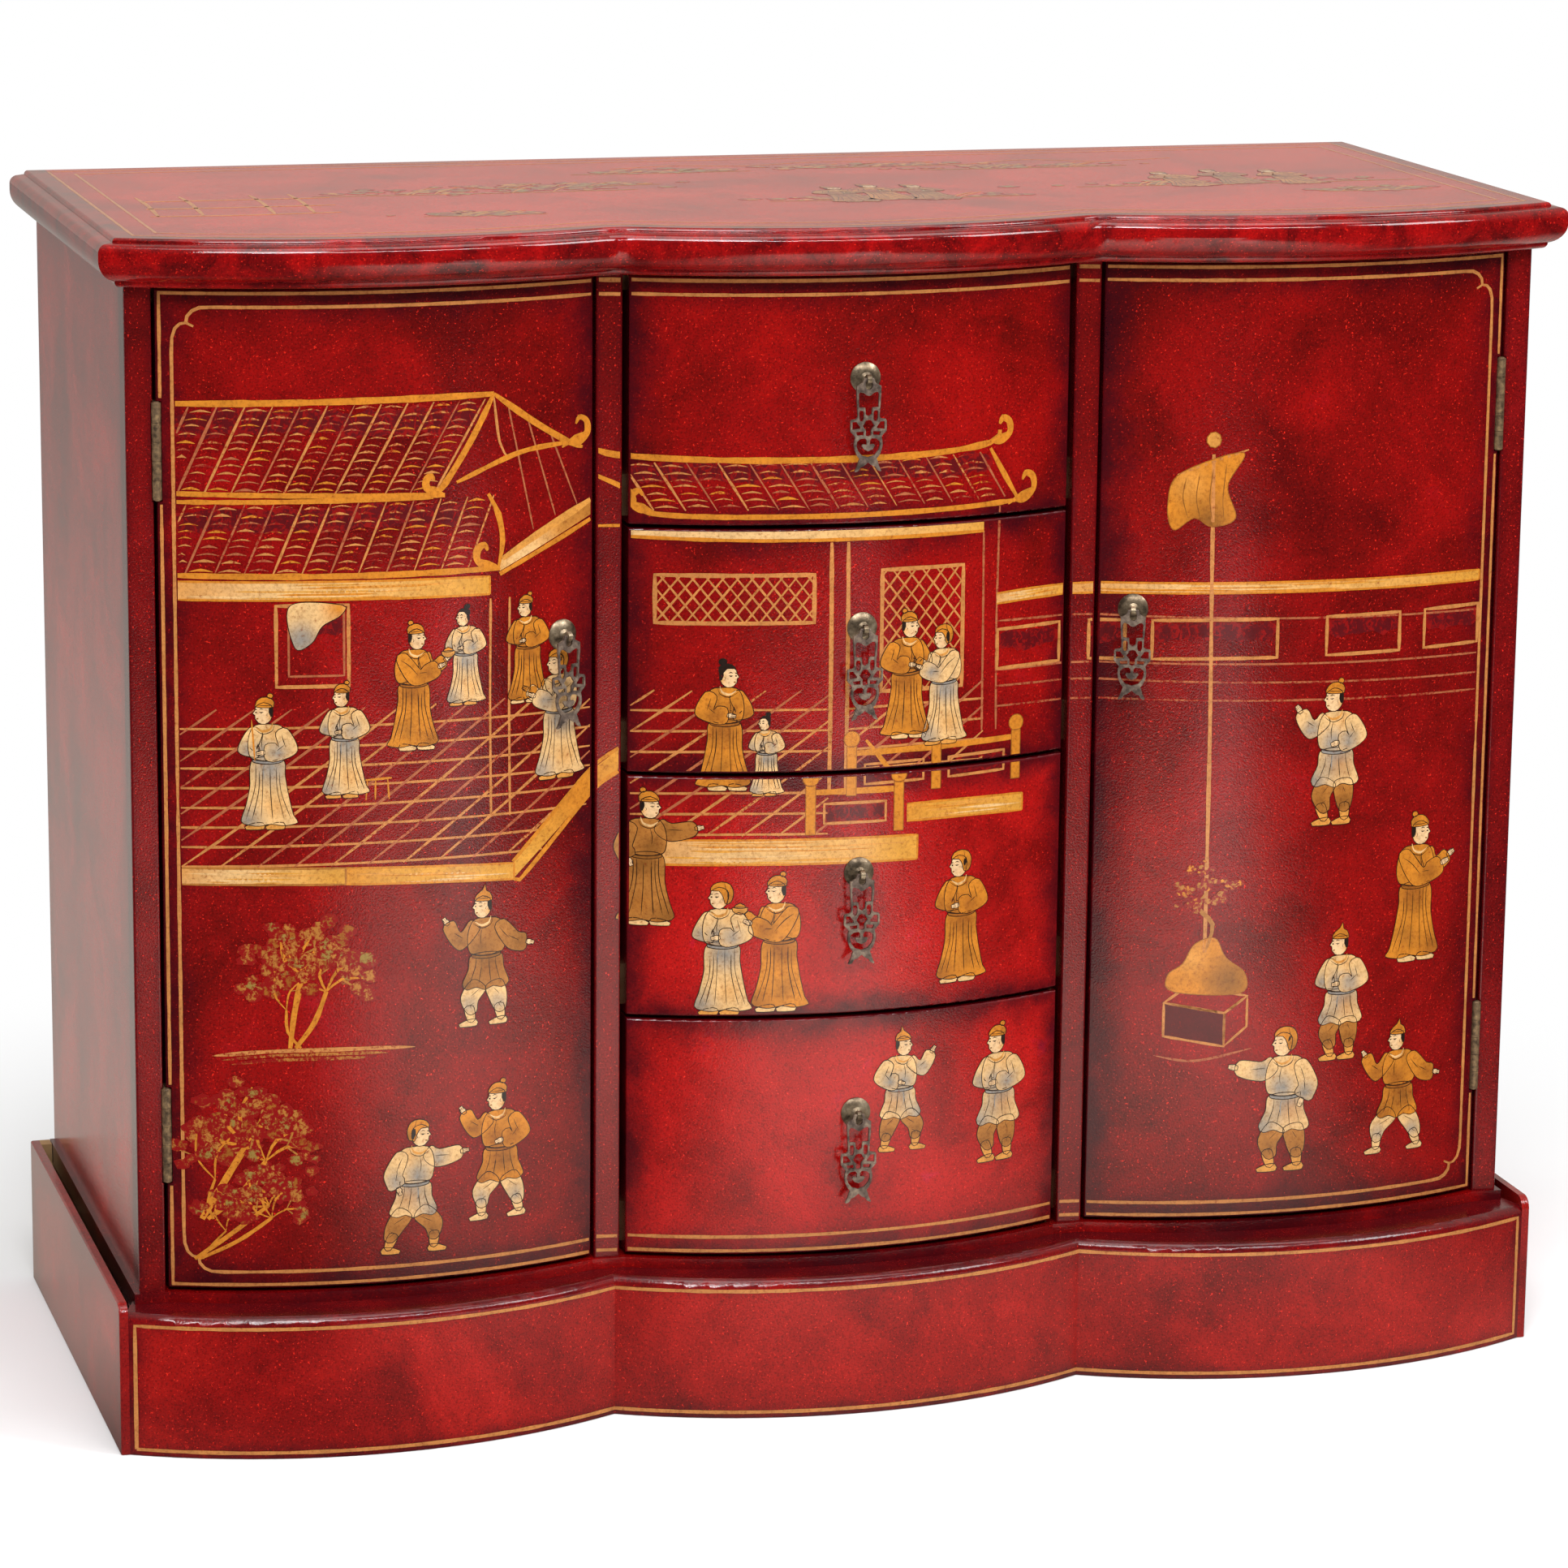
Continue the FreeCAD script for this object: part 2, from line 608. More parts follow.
def make_shelf_pins():
    pin = doc.addObject("Part::Cylinder", "shelf_pin")
    tie(pin, Radius="pin_radius", Height="pin_bite + pin_reach")
    doc.recompute()
    across = pin.Shape.copy()
    across.rotate(Vector(0, 0, 0), Vector(0, 1, 0), 90)
    z = size.shelf_height - size.shelf_thickness - size.pin_radius
    panel = half_width - size.side_thickness
    wall = bay_x + size.partition_thickness
    shapes = []
    starts = [-panel - size.pin_bite, -wall - size.pin_reach, wall - size.pin_bite, panel - size.pin_reach]
    for y in pin_places():
        shapes += [moved(across, x, y, z) for x in starts]
    return keep(group("shelf_pins", shapes))


def make_carcass():
    make_bottom_board()
    make_pinned_panel("side_panel_left", "side_thickness", rear_y, "-" + half_carcass, 1)
    make_pinned_panel("side_panel_right", "side_thickness", rear_y, half_carcass + " - side_thickness", -1)
    inner = rear_y - size.back_thickness
    wall = "(stile_spacing / 2 - stile_width / 2)"
    left_wall = "-" + wall + " - partition_thickness"
    make_pinned_panel("partition_left", "partition_thickness", inner, left_wall, -1)
    make_pinned_panel("partition_right", "partition_thickness", inner, wall, 1)
    keep(board("back_panel", "carcass_width - 2 * side_thickness", "back_thickness", carcass_tall,
               "side_thickness - " + half_carcass, "rear_reach - back_thickness", deck_top))
    make_stile("end_stile_left", "-" + half_carcass, -1)
    make_stile("end_stile_right", half_carcass + " - stile_width", 1)
    make_stile("divider_stile_left", "-stile_spacing / 2 - stile_width / 2")
    make_stile("divider_stile_right", "stile_spacing / 2 - stile_width / 2")
    make_runners()
    make_rails()
    shelf_long = half_carcass + " - side_thickness - " + wall + " - partition_thickness - 2 * shelf_gap"
    shelf_deep = "rear_reach - back_thickness - shelf_gap + face_reach - shelf_setback"
    starts = {
        "shelf_left": "side_thickness + shelf_gap - " + half_carcass,
        "shelf_right": wall + " + partition_thickness + shelf_gap",
    }
    for label, start in starts.items():
        keep(board(label, shelf_long, shelf_deep, "shelf_thickness", start,
                   "shelf_setback - face_reach", "shelf_height - shelf_thickness"))
    make_shelf_pins()


# Top board and its moulding
ring = size.top_overhang + size.valley_radius


# The hollow between two bows: an upright cylinder in front that touches both
def valley_centre(side):
    outer = right_bow
    a = Vector(outer.x, outer.y, 0)
    b = Vector(middle_bow.x, middle_bow.y, 0)
    reach_a = outer.radius + ring
    reach_b = middle_bow.radius + ring
    apart = (a - b).Length
    along = (reach_b ** 2 - reach_a ** 2 + apart ** 2) / (2 * apart)
    up = math.sqrt(reach_b ** 2 - along ** 2)
    unit = (a - b).normalize()
    centre = b + unit * along + Vector(unit.y, -unit.x, 0) * up
    return Vector(side * centre.x, centre.y, 0)


# Where the bow ends and the hollow starts, at some offset outside the flat top edge
def valley_touch(bow, centre, offset):
    middle = Vector(bow.x, bow.y, 0)
    unit = (centre - middle).normalize()
    return middle + unit * (bow.radius + size.top_overhang + offset)


def hollow(centre, start, end, offset):
    radius = size.valley_radius - offset
    middle = (start + end) * 0.5 - centre
    middle = centre + middle.normalize() * radius
    return Part.Arc(start, middle, end)


# The outer bows run straight for a short stretch before the corners, where the moulding is mitred
top_half = half_width + size.side_overhang
corner_turn = math.asin((top_half - size.corner_run - right_bow.x) / (right_bow.radius + size.top_overhang))
corner_normal = Vector(math.sin(corner_turn), -math.cos(corner_turn), 0)
corner_course = Vector(math.cos(corner_turn), math.sin(corner_turn), 0)


def bow_end(offset):
    centre = Vector(right_bow.x, right_bow.y, 0)
    return centre + corner_normal * (right_bow.radius + size.top_overhang + offset)


def corner_at(offset):
    start = bow_end(offset)
    return start + corner_course * ((top_half + offset - start.x) / corner_course.x)


def top_front(offset):
    over = size.top_overhang + offset
    spots = [valley_centre(-1), valley_centre(1)]
    touches = [
        valley_touch(left_bow, spots[0], offset), valley_touch(middle_bow, spots[0], offset),
        valley_touch(middle_bow, spots[1], offset), valley_touch(right_bow, spots[1], offset),
    ]
    end = bow_end(offset)
    corner = corner_at(offset)
    return [
        line(Vector(-corner.x, corner.y, 0), Vector(-end.x, end.y, 0)),
        left_bow.arc(-end.x, touches[0].x, over),
        hollow(spots[0], touches[0], touches[1], offset),
        middle_bow.arc(touches[1].x, touches[2].x, over),
        hollow(spots[1], touches[2], touches[3], offset),
        right_bow.arc(touches[3].x, end.x, over),
        line(end, corner),
    ]


def make_top_panel():
    body = new_body("top_panel")
    inset = -size.moulding_back
    corner = corner_at(inset)
    rest = [
        line(corner, Vector(corner.x, rear_y, 0)),
        line(Vector(corner.x, rear_y, 0), Vector(-corner.x, rear_y, 0)),
        line(Vector(-corner.x, rear_y, 0), Vector(-corner.x, corner.y, 0)),
    ]
    outline = sketch_on(body, "XY_Plane", "outline", top_front(inset) + rest)
    pad(body, outline, "top_thickness")
    tie(body, Placement__Base__z=carcass_top)
    return keep(body)


# Section of the moulding: outwards along u, height along v, from the flat top edge
def moulding_section(place):
    reach = size.moulding_reach
    foot = -size.moulding_foot
    bend = 1 - math.sqrt(2) / 2
    high = size.overall_height
    low = high - size.top_thickness
    quirk = place(size.quirk_width, high - size.quirk_drop)
    quirk_mid = place(size.quirk_width * (1 - bend), high - size.quirk_drop * bend)
    shoulder = place(size.shoulder_start, high - size.shoulder_drop)
    belly_high = place(reach, high - size.belly_top)
    run = reach - size.shoulder_start
    drop = size.belly_top - size.shoulder_drop
    shoulder_mid = place(reach - run * bend, high - size.shoulder_drop - drop * bend)
    belly_low = place(reach, high - size.belly_bottom)
    cove = place(size.cove_reach, high - size.cove_drop)
    # the sweep leaves the belly upright, so its centre is level with the belly's lower end
    run_in = reach - size.cove_reach
    fall = size.cove_drop - size.belly_bottom
    sweep = (run_in ** 2 + fall ** 2) / (2 * run_in)
    half_turn = math.asin(fall / sweep) / 2
    belly_mid = place(reach - sweep * (1 - math.cos(half_turn)),
                      high - size.belly_bottom - sweep * math.sin(half_turn))
    bead_run = size.cove_reach - foot
    bead_fall = size.top_thickness - size.cove_drop
    bead_mid = place(size.cove_reach - bead_run * bend, low + bead_fall * bend)
    toe = place(foot, low)
    heel = place(-size.moulding_back, low)
    crest = place(-size.moulding_back, high)
    edge = place(0, high)
    curves = [
        Part.Arc(edge, quirk_mid, quirk), line(quirk, shoulder),
        Part.Arc(shoulder, shoulder_mid, belly_high), line(belly_high, belly_low),
        Part.Arc(belly_low, belly_mid, cove), Part.Arc(cove, bead_mid, toe),
        line(toe, heel), line(heel, crest), line(crest, edge),
    ]
    return Part.Face(Part.Wire([curve.toShape() for curve in curves]))


# Turn the section about the axis of a bow or a hollow, between two directions
def turned(centre, radius, start, end, sign):
    first = math.atan2(start.y - centre.y, start.x - centre.x)
    last = math.atan2(end.y - centre.y, end.x - centre.x)
    angle = math.degrees(last - first)
    angle = (angle + 180) % 360 - 180
    direction = Vector(math.cos(first), math.sin(first), 0)

    def place(u, v):
        return centre + direction * (radius + sign * u) + Vector(0, 0, v)
    return moulding_section(place).revolve(centre, Vector(0, 0, 1), angle)


# A block on one side of the upright plane of the mitre, to cut a moulding with
def mitre_block(sideways):
    inner = corner_at(-size.corner_run * 4)
    outer = corner_at(size.corner_run * 4)
    shift = Vector(0, -rear_y, 0) if sideways == "front" else Vector(0, rear_y, 0)
    wire = Part.makePolygon([inner, outer, outer + shift, inner + shift, inner])
    return Part.Face(wire).extrude(Vector(0, 0, size.overall_height * 2))


def make_top_moulding():
    spot = valley_centre(1)
    bow_centre = Vector(right_bow.x, right_bow.y, 0)
    middle_centre = Vector(middle_bow.x, middle_bow.y, 0)
    outer_radius = right_bow.radius + size.top_overhang
    inner_radius = middle_bow.radius + size.top_overhang
    touch_right = valley_touch(right_bow, spot, 0)
    touch_middle = valley_touch(middle_bow, spot, 0)
    apex = middle_bow.point(0, size.top_overhang)
    start = bow_end(0)

    def on_front(u, v):
        return start + corner_normal * u + Vector(0, 0, v)
    stretch = moulding_section(on_front).extrude(corner_course * (size.corner_run * 3))
    pieces = [
        stretch.cut(mitre_block("side")),
        turned(bow_centre, outer_radius, touch_right, start, 1),
        turned(spot, size.valley_radius, touch_middle, touch_right, -1),
        turned(middle_centre, inner_radius, apex, touch_middle, 1),
    ]
    half = pieces[0].fuse(pieces[1:])
    front = half.fuse(flipped(half)).removeSplitter()

    def on_side(u, v):
        return Vector(top_half + u, rear_y, v)
    reach = rear_y - corner_at(size.moulding_reach * 2).y
    side = moulding_section(on_side).extrude(Vector(0, -reach, 0))
    side = side.cut(mitre_block("front"))
    shapes = []
    for solid in (front, side, flipped(side)):
        shapes.extend(solid.Solids)
    return keep(group("top_moulding", shapes))


# Doors and drawer fronts: bowed boards of even thickness
def bowed_outline(bow, start, end):
    back = -size.door_thickness
    return [
        bow.arc(start, end), line(bow.point(end), bow.point(end, back)),
        bow.arc(end, start, back), line(bow.point(start, back), bow.point(start)),
    ]


def ease_front(body, bow):
    def on_front(edge):
        corners = [vertex.Point for vertex in edge.Vertexes]
        spots = corners + [edge.valueAt((edge.FirstParameter + edge.LastParameter) / 2)]
        return all(abs(math.hypot(p.x - bow.x, p.y - bow.y) - bow.radius) < near for p in spots)
    fillet(body, body.Tip, on_front, "front_ease")


def bore_for_pull(body, bow, x, z_text):
    spot = bow.point(x)
    turn = bow.turn(x)
    radius = size.shank_radius + size.shank_clearance
    # the sketch plane is turned to face along the bow, so the hole's place is measured in that plane
    across = spot.x * math.cos(math.radians(turn)) + spot.y * math.sin(math.radians(turn))
    hole = sketch_on(body, "XZ_Plane", "bore", [circle(across, 0, radius)], "0", turn)
    tie(hole, AttachmentOffset__Base__y=z_text)
    pocket(body, hole, "face_reach + carcass_width / 2", reverse=True)


def make_door(label, bow, side):
    body = new_body(label)
    inner = side * door_inner_x
    outer = side * door_outer_x
    outline = sketch_on(body, "XY_Plane", "outline", bowed_outline(bow, min(inner, outer), max(inner, outer)))
    pad(body, outline, front_tall)
    ease_front(body, bow)
    axis_x, axis_y = hinge_axis(side)
    notch_radius = size.knuckle_radius + size.notch_clearance
    for name, middle in hinge_places.items():
        lift = middle + " + " + notch_half + " - " + door_foot
        cut = sketch_on(body, "XY_Plane", name, [circle(axis_x, axis_y, notch_radius)], lift)
        pocket(body, cut, "2 * " + notch_half)
    bore_for_pull(body, bow, side * (door_inner_x + size.pull_inset), front_tall + " / 2 + door_pull_rise")
    tie(body, Placement__Base__z=door_foot)
    return keep(body)


# Hinges: a leaf on the stile and a leaf on the door share a barrel of five knuckles
def make_leaf(label, on_door):
    body = doc.addObject("PartDesign::Body", label)
    clear = size.knuckle_gap
    # in the hinge's own place the axis is zero and the stile lies on the -X side
    stile_side = -size.hinge_axis_in
    thick = size.leaf_thickness
    inner = size.hinge_gap - size.hinge_axis_in
    near_x = inner - thick if on_door else stile_side
    far_x = inner if on_door else stile_side + thick
    barrel_back = math.sqrt(size.knuckle_radius ** 2 - min(near_x ** 2, far_x ** 2))
    tab_y = barrel_back / 2
    deep = size.hinge_axis_out + size.leaf_width
    leaf = [Vector(near_x, tab_y, 0), Vector(far_x, tab_y, 0)]
    leaf += [Vector(far_x, deep, 0), Vector(near_x, deep, 0)]
    plate = sketch_on(body, "XY_Plane", "plate", polygon(leaf))
    pad(body, plate, "hinge_length")
    barrel = sketch_on(body, "XY_Plane", "barrel", [circle(0, 0, size.knuckle_radius)])
    pad(body, barrel, "hinge_length")
    bore_circle = [circle(0, 0, size.pin_core + size.pin_running)]
    bore = sketch_on(body, "XY_Plane", "bore", bore_circle, "hinge_length")
    pocket(body, bore, "hinge_length")
    # the knuckles of the other leaf are cut away
    share = "hinge_length / knuckle_count"
    others = [n for n in range(size.knuckle_count) if (n % 2 == 0) == on_door]
    room = size.knuckle_radius + clear
    corners = [Vector(-room, -room, 0), Vector(room, -room, 0), Vector(room, room, 0), Vector(-room, room, 0)]
    for n in others:
        window = polygon(corners)
        first = n == 0
        last = n == size.knuckle_count - 1
        top = "%d * %s" % (n + 1, share) + (" + tool_overrun" if last else " + knuckle_gap / 2")
        long = share + " + knuckle_gap / 2"
        long += " + tool_overrun" if first or last else " + knuckle_gap / 2"
        cut = sketch_on(body, "XY_Plane", "gap%d" % n, window, top)
        pocket(body, cut, long)
    middle = (room + deep) / 2
    level = size.hinge_length / 2
    heights = [level - size.screw_pitch, level, level + size.screw_pitch]
    holes = [circle(middle, z, size.screw_hole) for z in heights]
    outer_face = "hinge_gap" if on_door else "leaf_thickness"
    drill = sketch_on(body, "YZ_Plane", "screws", holes, outer_face + " - hinge_axis_in + tool_overrun")
    pocket(body, drill, "leaf_thickness + 2 * tool_overrun")
    return body


def hinge_axis(side):
    return side * (half_width - size.stile_width - size.hinge_axis_in), face_y - size.hinge_axis_out


def hinge_heights():
    low = door_foot_z + size.hinge_inset - size.hinge_length / 2
    high = door_foot_z + front_height - size.hinge_inset - size.hinge_length / 2
    return [high, low]


def make_hinges():
    frame_leaf = make_leaf("frame_leaf", False)
    door_leaf = make_leaf("door_leaf", True)
    pin = doc.addObject("PartDesign::Body", "hinge_pin")
    long = size.hinge_length
    head = size.pin_head
    tip = size.pin_tip
    flat = size.pin_core / 2
    bend = math.sqrt(2) / 2
    shoulder = flat + (tip - flat) * bend
    crown = head * bend
    profile = [
        line(Vector(0, -head, 0), Vector(0, long + head, 0)),
        line(Vector(0, long + head, 0), Vector(flat, long + head, 0)),
        Part.Arc(Vector(flat, long + head, 0), Vector(shoulder, long + crown, 0), Vector(tip, long, 0)),
        line(Vector(tip, long, 0), Vector(size.pin_core, long, 0)),
        line(Vector(size.pin_core, long, 0), Vector(size.pin_core, 0, 0)),
        line(Vector(size.pin_core, 0, 0), Vector(tip, 0, 0)),
        Part.Arc(Vector(tip, 0, 0), Vector(shoulder, -crown, 0), Vector(flat, -head, 0)),
        line(Vector(flat, -head, 0), Vector(0, -head, 0)),
    ]
    section = sketch_on(pin, "XZ_Plane", "section", profile)
    spin = pin.newObject("PartDesign::Revolution", "hinge_pin_turn")
    spin.Profile = section
    spin.ReferenceAxis = (section, ["V_Axis"])
    spin.Angle = 360
    doc.recompute()
    frame_shapes = []
    pin_shapes = []
    heights = hinge_heights()
    for side, name in ((-1, "left"), (1, "right")):
        x, y = hinge_axis(side)
        leaf = frame_leaf.Shape if side < 0 else flipped(frame_leaf.Shape)
        mate = door_leaf.Shape if side < 0 else flipped(door_leaf.Shape)
        frame_shapes += [moved(leaf, x, y, z) for z in heights]
        pin_shapes += [moved(pin.Shape, x, y, z) for z in heights]
        keep(group("hinge_door_leaves_" + name, [moved(mate, x, y, z) for z in heights]))
    keep(group("hinge_frame_leaves", frame_shapes))
    keep(group("hinge_pins", pin_shapes))


def make_catches():
    block = doc.addObject("Part::Box", "catch")
    tie(block, Length="catch_width", Width="catch_depth", Height="catch_height")
    plate = doc.addObject("Part::Box", "strike")
    tie(plate, Length="strike_width", Width="strike_thickness", Height="catch_height")
    doc.recompute()
    y = face_y + size.catch_setback
    z = carcass_top_z - size.rail_height - size.catch_height
    shapes = [moved(block.Shape, x, y, z) for x in (door_inner_x, -door_inner_x - size.catch_width)]
    keep(group("magnet_catches", shapes))
    for side, name, bow in ((-1, "left", left_bow), (1, "right", right_bow)):
        x = side * (door_inner_x + size.strike_inset)
        behind = -seat_behind(bow, size.strike_width / 2)
        spot = bow.point(x, behind)
        centred = moved(plate.Shape, -size.strike_width / 2)
        low = z - size.strike_drop
        keep(group("strike_plate_" + name, [moved(centred, spot.x, spot.y, low, bow.turn(x, behind))]))


# Drawers
def make_drawer(number):
    tag = "_%d" % (number + 1)
    foot = door_foot + " + %d * (%s + drawer_gap)" % (size.drawer_count - 1 - number, drawer_tall)
    front = new_body("drawer_front" + tag)
    outline = sketch_on(front, "XY_Plane", "outline", bowed_outline(middle_bow, -drawer_half, drawer_half))
    pad(front, outline, drawer_tall)
    ease_front(front, middle_bow)
    bore_for_pull(front, middle_bow, 0, drawer_tall + " - pull_drop")
    tie(front, Placement__Base__z=foot)
    keep(front)

    back = -size.door_thickness
    outer = drawer_half - size.box_inset
    inner = outer - size.box_wall
    walls = []
    for side in (-1, 1):
        wall = doc.addObject("PartDesign::Body", "side" + tag + ("_left" if side < 0 else "_right"))
        a = side * inner
        b = side * outer
        shape = [
            middle_bow.arc(a, b, back), line(middle_bow.point(b, back), Vector(b, box_rear_y, 0)),
            line(Vector(b, box_rear_y, 0), Vector(a, box_rear_y, 0)),
            line(Vector(a, box_rear_y, 0), middle_bow.point(a, back)),
        ]
        pad(wall, sketch_on(wall, "XY_Plane", "outline", shape), box_tall)
        walls.append(moved(wall.Shape, 0, 0, drawer_foot(number) + size.box_lift))
    keep(group("drawer_sides" + tag, walls))
    inner_text = "(stile_spacing / 2 - stile_width / 2 - drawer_side_gap - box_inset - box_wall)"
    floor_text = foot + " + box_lift + tray_lift"
    back_tall = box_tall + " - tray_lift - tray_thickness - back_drop"
    back_y = "rear_reach - back_thickness - box_rear_gap - box_wall"
    keep(board("drawer_back" + tag, "2 * " + inner_text, "box_wall", back_tall,
               "-" + inner_text, back_y, floor_text + " + tray_thickness"))
    tray = new_body("drawer_bottom" + tag)
    end = box_rear_y
    shape = [
        middle_bow.arc(-inner, inner, back), line(middle_bow.point(inner, back), Vector(inner, end, 0)),
        line(Vector(inner, end, 0), Vector(-inner, end, 0)),
        line(Vector(-inner, end, 0), middle_bow.point(-inner, back)),
    ]
    pad(tray, sketch_on(tray, "XY_Plane", "outline", shape), "tray_thickness")
    tie(tray, Placement__Base__z=floor_text)
    keep(tray)


# Pulls: a domed plate with an eye, and an openwork pendant that swings in it
# Outlines of the pendant as shares of its half width and its height, from the bar down
rim_shares = [
    (0, 0.112), (-0.10, 0.105), (-0.19, 0.085), (-0.20, 0.045), (-0.155, 0.02), (-0.155, -0.012),
    (-0.27, -0.012), (-0.36, 0.035), (-0.58, 0.062), (-0.68, 0.07), (-0.68, 0.16), (-0.62, 0.33),
    (-0.60, 0.405), (-0.70, 0.425), (-0.95, 0.432), (-1.0, 0.45), (-1.0, 0.555), (-0.93, 0.575),
    (-0.80, 0.60), (-0.72, 0.625), (-0.77, 0.66), (-0.79, 0.71), (-0.74, 0.765), (-0.62, 0.82),
    (-0.47, 0.858), (-0.53, 0.885), (-0.60, 0.935), (-0.74, 0.99), (-0.70, 1.0), (-0.52, 0.985),
    (-0.40, 0.945), (-0.25, 0.935), (-0.12, 0.915), (0, 0.895),
]
window_shares = [
    (-0.54, 0.30), (-0.57, 0.16), (-0.50, 0.135), (-0.38, 0.135), (-0.24, 0.15), (-0.10, 0.172), (0, 0.178),
    (0.10, 0.172), (0.24, 0.15), (0.38, 0.135), (0.50, 0.135), (0.57, 0.16), (0.54, 0.30), (0.20, 0.305),
    (0.17, 0.375), (0, 0.40), (-0.17, 0.375), (-0.20, 0.305),
]
slot_shares = [(-0.49, 0.335), (-0.31, 0.335), (-0.26, 0.36), (-0.26, 0.42), (-0.32, 0.452), (-0.46, 0.452),
               (-0.52, 0.42), (-0.53, 0.36)]
wing_shares = [(-0.90, 0.455), (-0.66, 0.455), (-0.60, 0.475), (-0.46, 0.51), (-0.46, 0.53), (-0.90, 0.54)]
keyhole_shares = [(0, 0.435), (0.17, 0.445), (0.24, 0.475), (0.33, 0.50), (0.24, 0.525), (0.15, 0.545),
                  (0.15, 0.605), (0, 0.618), (-0.15, 0.605), (-0.15, 0.545), (-0.24, 0.525), (-0.33, 0.50),
                  (-0.24, 0.475), (-0.17, 0.445)]
brick_shares = [(-0.70, 0.565), (-0.26, 0.558), (-0.26, 0.60), (-0.62, 0.605)]
heart_shares = [
    (-0.08, 0.66), (-0.18, 0.635), (-0.45, 0.64), (-0.64, 0.672), (-0.66, 0.715), (-0.58, 0.765),
    (-0.36, 0.82), (0, 0.842), (0.36, 0.82), (0.58, 0.765), (0.66, 0.715), (0.64, 0.672), (0.45, 0.64),
    (0.18, 0.635),
    (0.08, 0.66), (0.08, 0.705), (0.30, 0.70), (0.36, 0.715), (0.24, 0.755), (0, 0.775),
    (-0.24, 0.755), (-0.36, 0.715), (-0.30, 0.70), (-0.08, 0.705),
]


def pendant_polygon(shares):
    half = size.pendant_width / 2
    return polygon([Vector(u * half, -v * size.pendant_height, 0) for u, v in shares])


def mirrored_shares(shares):
    return [(-u, v) for u, v in reversed(shares)]


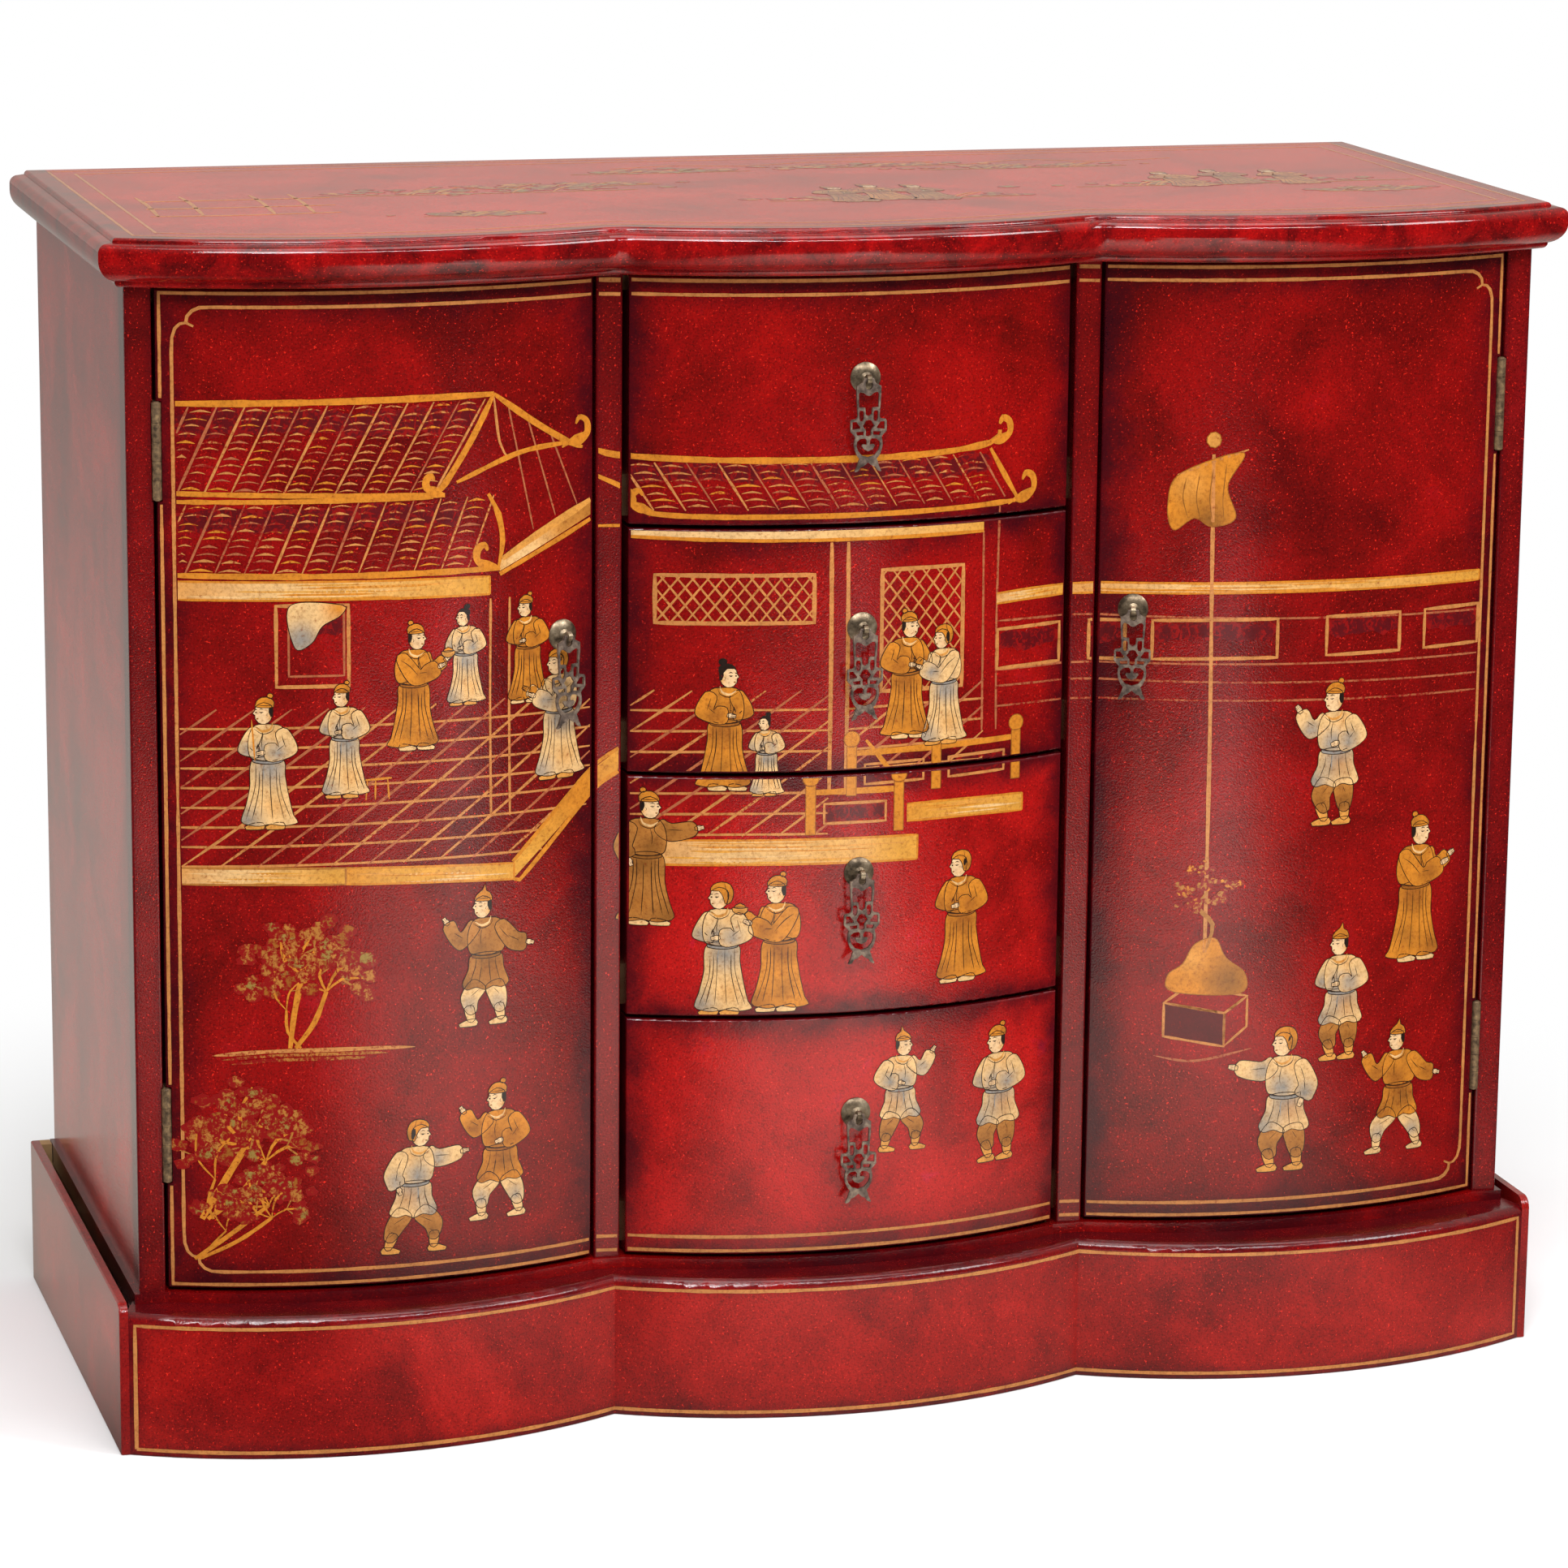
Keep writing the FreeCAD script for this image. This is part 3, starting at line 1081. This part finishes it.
def make_pull(number, ride_bow, x, z):
    tag = "_%d" % number
    spot = ride_bow.point(x)
    turn = ride_bow.turn(x)
    mount = doc.addObject("PartDesign::Body", "mount" + tag)
    flat = size.plate_rim
    crown = size.plate_dome
    rim = size.plate_radius
    bend = 1 - math.sqrt(2) / 2
    collar = size.collar_radius
    post = size.post_radius
    dome_mid = Vector((rim + collar) / 2, flat + (crown - flat) * (1 - bend), 0)
    tail = -(size.door_thickness + size.shank_tail)
    profile = [
        line(Vector(0, tail, 0), Vector(size.shank_radius, tail, 0)),
        line(Vector(size.shank_radius, tail, 0), Vector(size.shank_radius, 0, 0)),
        line(Vector(size.shank_radius, 0, 0), Vector(rim, 0, 0)),
        line(Vector(rim, 0, 0), Vector(rim, flat, 0)),
        Part.Arc(Vector(rim, flat, 0), dome_mid, Vector(collar, crown, 0)),
        line(Vector(collar, crown, 0), Vector(post, crown + (collar - post) / 2, 0)),
        line(Vector(post, crown + (collar - post) / 2, 0), Vector(post, size.eye_reach, 0)),
        line(Vector(post, size.eye_reach, 0), Vector(0, size.eye_reach, 0)),
        line(Vector(0, size.eye_reach, 0), Vector(0, tail, 0)),
    ]
    # turned about the axis of the post, which is the Z axis of this body until it is placed
    section = sketch_on(mount, "XZ_Plane", "section", profile)
    spin = mount.newObject("PartDesign::Revolution", mount.Label + "_turn")
    spin.Profile = section
    spin.ReferenceAxis = (section, ["V_Axis"])
    spin.Angle = 360
    doc.recompute()
    eye = sketch_on(mount, "YZ_Plane", "eye", [circle(0, size.eye_reach, size.eye_radius)], "-eye_width / 2")
    pad(mount, eye, "eye_width")
    bore_radius = size.bar_radius + size.bar_running
    over = post + size.tool_overrun
    bore_circle = [circle(0, size.eye_reach, bore_radius)]
    bore = sketch_on(mount, "YZ_Plane", "bore", bore_circle, "post_radius + tool_overrun")
    pocket(mount, bore, "2 * (post_radius + tool_overrun)")
    # the post is narrowed to the width of the eye where the pendant's arms pass
    cheek = size.eye_width / 2
    far = size.eye_reach + size.eye_radius + size.tool_overrun
    start = size.eye_reach - size.eye_radius
    for side in (-1, 1):
        window = [Vector(side * cheek, start, 0), Vector(side * over, start, 0),
                  Vector(side * over, far, 0), Vector(side * cheek, far, 0)]
        name = "left_cheek" if side < 0 else "right_cheek"
        cut = sketch_on(mount, "XZ_Plane", name, polygon(window), "post_radius + tool_overrun")
        pocket(mount, cut, "2 * (post_radius + tool_overrun)")
    hexagon = []
    for corner in range(6):
        angle = math.radians(60 * corner)
        reach = size.nut_flats / math.sqrt(3)
        hexagon.append(Vector(reach * math.cos(angle), reach * math.sin(angle), 0))
    nut = doc.addObject("PartDesign::Body", "nut" + tag)
    pad(nut, sketch_on(nut, "XY_Plane", "flats", polygon(hexagon)), "nut_height")
    thread = [circle(0, 0, size.shank_radius + size.pin_clearance)]
    hole = sketch_on(nut, "XY_Plane", "thread", thread, "nut_height")
    pocket(nut, hole, "nut_height")
    behind = seat_behind(ride_bow, size.nut_flats / math.sqrt(3))
    nut_shape = moved(nut.Shape, 0, 0, -behind - size.nut_height)
    # stand the plate upright, facing along the bow
    upright = Rotation(Vector(0, 0, 1), turn).multiply(Rotation(Vector(1, 0, 0), 90))
    spin_place = Placement(Vector(spot.x, spot.y, z), upright)
    shapes = []
    for shape in (mount.Shape, nut_shape):
        copy = shape.copy()
        copy.Placement = spin_place.multiply(copy.Placement)
        shapes.append(copy)
    keep(group("pull_mount" + tag, shapes))

    pendant = new_body("pull_pendant" + tag)
    full_rim = rim_shares + mirrored_shares(rim_shares)[1:-1]
    loops = [full_rim, window_shares, keyhole_shares, heart_shares]
    for shares in (slot_shares, wing_shares, brick_shares):
        loops += [shares, mirrored_shares(shares)]
    geometry = []
    for shares in loops:
        geometry += pendant_polygon(shares)
    plate = sketch_on(pendant, "XZ_Plane", "openwork", geometry, "-pendant_thickness / 2")
    pad(pendant, plate, "pendant_thickness")
    bar = sketch_on(pendant, "YZ_Plane", "bar", [circle(0, 0, size.bar_radius)], "-bar_half")
    pad(pendant, bar, "2 * bar_half")
    outward = Rotation(Vector(0, 0, 1), turn).multVec(Vector(0, -size.eye_reach, 0))
    pendant.Placement = Placement(spot + outward + Vector(0, 0, z), Rotation(Vector(0, 0, 1), turn))
    keep(pendant)


make_plinth_front()
make_plinth_side("plinth_side_left", -1)
make_plinth_side("plinth_side_right", 1)
make_plinth_back()
make_plinth_blocks()
make_carcass()
make_top_panel()
make_top_moulding()
make_door("door_left", left_bow, -1)
make_door("door_right", right_bow, 1)
make_hinges()
make_catches()
for number in range(size.drawer_count):
    make_drawer(number)
for number in range(size.drawer_count):
    make_pull(number + 1, middle_bow, 0, drawer_foot(number) + drawer_height - size.pull_drop)
door_pull_x = door_inner_x + size.pull_inset
door_pull_z = door_foot_z + front_height / 2 + size.door_pull_rise
make_pull(size.drawer_count + 1, left_bow, -door_pull_x, door_pull_z)
make_pull(size.drawer_count + 2, right_bow, door_pull_x, door_pull_z)
doc.recompute()

for thing in doc.Objects:
    if "Invalid" in thing.State or "Error" in thing.State:
        raise RuntimeError(thing.Label + " did not recompute: " + str(thing.State))
for thing in made:
    if thing.Shape.isNull() or not thing.Shape.isValid():
        raise RuntimeError(thing.Label + " has no valid shape")
for thing in made:
    thing.Shape.exportStep("parts/" + thing.Label + ".step")
    print(thing.Label, len(thing.Shape.Solids), "solid(s)", round(thing.Shape.Volume / 1000, 1), "cm3")
print(len(made), "nodes")
